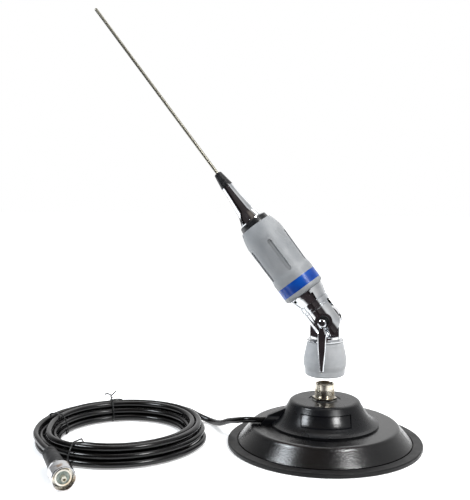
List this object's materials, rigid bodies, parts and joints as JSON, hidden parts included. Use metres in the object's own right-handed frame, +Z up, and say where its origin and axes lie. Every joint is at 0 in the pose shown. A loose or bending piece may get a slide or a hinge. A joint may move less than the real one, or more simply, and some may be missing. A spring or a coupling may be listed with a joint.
{
  "type": "mobile cb antenna with magnetic base",
  "caption": "Black magnetic mount with a grey and chrome tilting CB antenna lifted off its socket, a blue band on its coil housing, and a coiled coaxial lead with its plug.",
  "frame": {"origin": "Middle of the round magnetic base's underside, on the surface it stands on.", "axes": "+Z points up, out of the socket; the antenna tilts in the XZ plane and leans towards -X, and +Y is away from the clamp lever."},
  "size_m": [0.3133, 0.2276, 0.356],
  "materials": {
    "boot_rubber": "matte",
    "cup_paint": "satin",
    "ferrite": "matte",
    "zinc_steel": "satin",
    "dome_plastic": "satin",
    "nickel": "satin",
    "white_plastic": "satin",
    "gold_contact": "polished",
    "cable_jacket": "satin",
    "tie_plastic": "satin",
    "sleeve_rubber": "matte",
    "grey_ring": "satin",
    "chrome": "polished",
    "lever_steel": "polished",
    "grey_housing": "satin",
    "blue_band": "satin",
    "enamelled_copper": "polished",
    "black_plastic": "satin",
    "cap_rubber": "satin",
    "whip_steel": "polished"
  },
  "bodies": {
    "base": {"magnet_boot": "boot_rubber", "magnet_cup": "cup_paint", "ring_magnet": "ferrite", "pole_piece": "zinc_steel", "dome_screws": "zinc_steel", "base_dome": "dome_plastic", "cable_outlet": "dome_plastic", "socket_shell": "nickel", "socket_insulator": "white_plastic", "socket_contact": "gold_contact", "socket_washer": "zinc_steel", "socket_nut": "nickel", "lead": "cable_jacket", "lead_coil": "cable_jacket", "lead_tail": "cable_jacket", "coil_ties": "tie_plastic", "plug_sleeve": "sleeve_rubber", "plug_body": "nickel", "plug_insulator": "white_plastic", "plug_pin": "nickel"},
    "plug_collar": {"plug_ring": "nickel"},
    "foot": {"stem": "nickel", "stem_insulator": "white_plastic", "stem_pin": "gold_contact", "swivel_base": "chrome"},
    "screw_ring": {"coupling_ring": "grey_ring"},
    "mast": {"knuckle_fork": "chrome", "pivot_screw": "zinc_steel", "lever_washer": "chrome", "spacer_washer": "tie_plastic", "nut_washer": "chrome", "pivot_nut": "zinc_steel", "coil_housing": "grey_housing", "label_band": "blue_band", "coil_former": "white_plastic", "loading_coil": "enamelled_copper", "top_ring": "black_plastic", "whip_holder": "chrome", "grub_screws": "zinc_steel", "whip_cap": "cap_rubber"},
    "lever": {"clamp_lever": "lever_steel"},
    "rod": {"whip": "whip_steel"}
  },
  "joints": [
    {"name": "antenna_lift", "type": "slide", "parent": "base", "child": "foot", "axis": [0, 0, 1], "range_m": [-0.0198, 0.02]},
    {"name": "ring_spin", "type": "hinge", "parent": "foot", "child": "screw_ring", "pos_m": [0, 0, 0.07], "axis": [0, 0, 1], "continuous": true},
    {"name": "knuckle_tilt", "type": "hinge", "parent": "foot", "child": "mast", "pos_m": [0, 0, 0.1018], "axis": [0, 1, 0], "range_deg": [-52.5, 127.5]},
    {"name": "lever_turn", "type": "hinge", "parent": "mast", "child": "lever", "pos_m": [0, 0, 0.1018], "axis": [0, 1, 0], "continuous": true},
    {"name": "whip_tuning", "type": "slide", "parent": "mast", "child": "rod", "axis": [-0.6088, 0, 0.7934], "range_m": [-0.01, 0.012]},
    {"name": "plug_ring_spin", "type": "hinge", "parent": "base", "child": "plug_collar", "pos_m": [-0.16, -0.144, 0.00884], "axis": [0.6151, -0.7873, -0.0436], "continuous": true}
  ]
}
